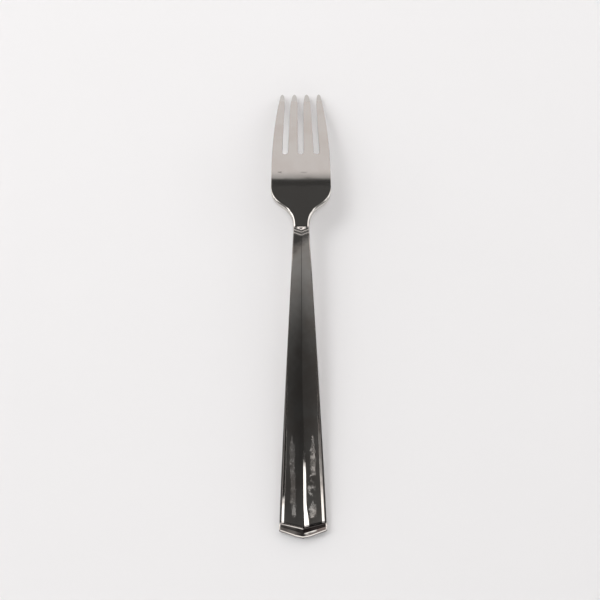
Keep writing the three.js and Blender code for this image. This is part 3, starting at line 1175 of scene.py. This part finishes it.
def surroundings():
    """What the steel mirrors, by a direction's tilt from straight up: dark above, bright around."""
    world = bpy.data.worlds.new("studio")
    bpy.context.scene.world = world
    world.use_nodes = True
    field = Field(world.node_tree)
    aim = field.add("ShaderNodeTexCoord", output="Generated")
    x = field.add("ShaderNodeSeparateXYZ", inputs={0: aim})
    sideways = field.math("ARCSINE", x) * math.degrees(1)
    onwards = field.math("ARCTAN2", x.also("Y"), x.also("Z")) * math.degrees(1)
    backwards = -onwards
    off_middle = abs(sideways)
    on_right = sideways.rise(-1, 1)
    middle = 1 - off_middle.rise(34, 44)

    ceiling = 0.04 + off_middle.rise(10.7, 17.5) * middle * 0.265 + sideways.rise(3, 9) * 0.022
    ceiling = ceiling + (1 - onwards.rise(-1.5, 2.5)) * 0.04 + onwards.rise(10, 20) * middle * 0.043
    ceiling = ceiling - onwards.band(24.55, 25.2, 0.15) * 0.03

    ahead = onwards.rise(25.15, 25.42) * 0.52 + onwards.rise(25.2, 26.2) * 0.48
    front_pair = panel(off_middle, (3.5, 8, 0.6), onwards, (32, 43, 1.5)) * 1.7
    front = (ahead * middle * 0.9).larger(front_pair)

    low_beside = off_middle.band(48, 86, 2) * onwards.rise(47.5, 50.5)
    long_beside = panel(off_middle, (45, 61, 1.5), onwards, (-17, 46, 2))
    rear_beside = panel(off_middle, (34, 52, 1.5), onwards, (-22.5, -10, 2.5))
    beside = low_beside.larger(long_beside, rear_beside)
    left_rear = panel(-sideways, (66, 86, 2), onwards, (-40, 19.25, 0.8))
    right_rear = panel(sideways, (62, 86, 2), onwards, (-40, 21.7, 3.5))
    right_dim = panel(sideways, (62, 86, 2), onwards, (18, 26, 2)) * 0.15
    left = beside.larger(left_rear) * (1 - on_right) * SIDE_LIGHT
    right = (beside * RIGHT_LIGHT).larger(right_rear.larger(right_dim) * SIDE_LIGHT) * on_right

    rear = (backwards.rise(48, 56) * 0.27).larger(backwards.rise(60, 64) * 1.6)
    rear = rear.larger(panel(sideways, (12, 24, 2), backwards, (36, 56, 3)) * 1.6)
    lamp = panel(sideways, (2, 8.7, 0.35), onwards, (-8, 1.3, 0.4)) * 3.2

    light = ceiling.larger(front, left, right, rear, lamp)
    camera_ray = field.add("ShaderNodeLightPath", output="Is Camera Ray")
    level = light * (1 - camera_ray) + camera_ray * BACKDROP_LEVEL
    colour = blended(field, ahead, PLAIN_LIGHT, WARM_LIGHT)
    connect(world.node_tree.nodes["Background"], {"Color": colour, "Strength": level})


# Each lamp's name, direction, breadth in degrees and strength
LAMPS = (
    ("left lamp", Vector((-0.85, 0.3, 1.5)), 27, 0.76),
    ("right lamp", Vector((0.85, 0.3, 1.5)), 32, 0.11),
    ("lamp by the camera", Vector((0, -0.6, 1.6)), 8, 0.46),
)


def lamps():
    """Broad far lamps, the strongest on the left. Polished metal shows the panels in their place."""
    for name, place, breadth, strength in LAMPS:
        data = bpy.data.lights.new(name, "SUN")
        data.angle = math.radians(breadth)
        data.energy = strength
        made = bpy.data.objects.new(name, data)
        turn = place.to_track_quat("Z", "Y").to_matrix().to_4x4()
        made.matrix_world = Matrix.Translation(place) @ turn
        made.visible_glossy = False
        bpy.context.scene.collection.objects.link(made)


CAMERA_AIM = Vector((-0.72, -1.58, 7.42)) * MM
CAMERA_PLACE = Vector((0, -164.2, 459.1)) * MM
CAMERA_SENSOR = 36
CAMERA_LENS = 68.54
CAMERA_ROLL = math.radians(-0.58)


def camera():
    data = bpy.data.cameras.new("camera")
    data.sensor_width = CAMERA_SENSOR
    data.lens = CAMERA_LENS
    made = bpy.data.objects.new("camera", data)
    turn = (CAMERA_AIM - CAMERA_PLACE).to_track_quat("-Z", "Y").to_matrix().to_4x4()
    roll = Matrix.Rotation(CAMERA_ROLL, 4, "Z")
    made.matrix_world = Matrix.Translation(CAMERA_PLACE) @ turn @ roll
    bpy.context.scene.collection.objects.link(made)
    bpy.context.scene.camera = made


# The fork

bpy.context.scene.view_settings.view_transform = "Standard"
camera()
floor()
surroundings()
lamps()

# The head's layers are dried marks; the handle's, the cap's and the collar's layers are mostly painted
# shade.
head_dirt = [(smears(BODY_MARKS), GRIME_AND_SHADE), (smears(NECK_MARKS), DARK_GRIME_AND_SHADE)]
handle_darkening = [(collar_dark_and_cap_shade, DARK_GRIME_AND_SHADE), (bevel_strip_shade, SHADE_BLACK)]
cap_layers = [(cap_film_and_shade, BROWN_FILM_AND_SHADE), (cap_shade, SHADE_BLACK)]
collar_shade = [(groove_shade, GRIME_AND_SHADE)]

HEAD_WAVES = 0.002 * MM
HANDLE_WAVES = 0.006 * MM
CAP_WAVES = 0.004 * MM
head_finish = polished_steel("head steel", HEAD_WAVES, 0.35, head_dirt)
back_finish = polished_steel("handle back steel", HANDLE_WAVES, 1.0, handle_darkening, hand_haze)
front_finish = polished_steel("handle front steel", HANDLE_WAVES, 1.0, handle_darkening)
cap_finish = polished_steel("cap steel", CAP_WAVES, 1.0, cap_layers)
collar_finish = polished_steel("collar steel", HEAD_WAVES, 0.5, collar_shade)

shells = shell_tree()
head = fork_head()
ferrule = collar(collar_finish)
back = handle_shell("handle_back", shells, 1.0, back_finish)
front = handle_shell("handle_front", shells, -1.0, front_finish)
cap = butt_cap()
pieces = [
    (head, "fork_head", "head_steel", head_finish),
    (ferrule, "neck_collar", "collar_steel", collar_finish),
    (back, "handle_back_shell", "handle_steel", back_finish),
    (front, "handle_front_shell", "handle_steel", front_finish),
    (cap, "butt_cap", "cap_steel", cap_finish),
]
for made, node, slot, material in pieces:
    made.data.materials.append(material)
    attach(made, "root")
    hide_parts(node)

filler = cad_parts["handle_filler"]
filler.data.materials.clear()
filler.data.materials.append(cement())
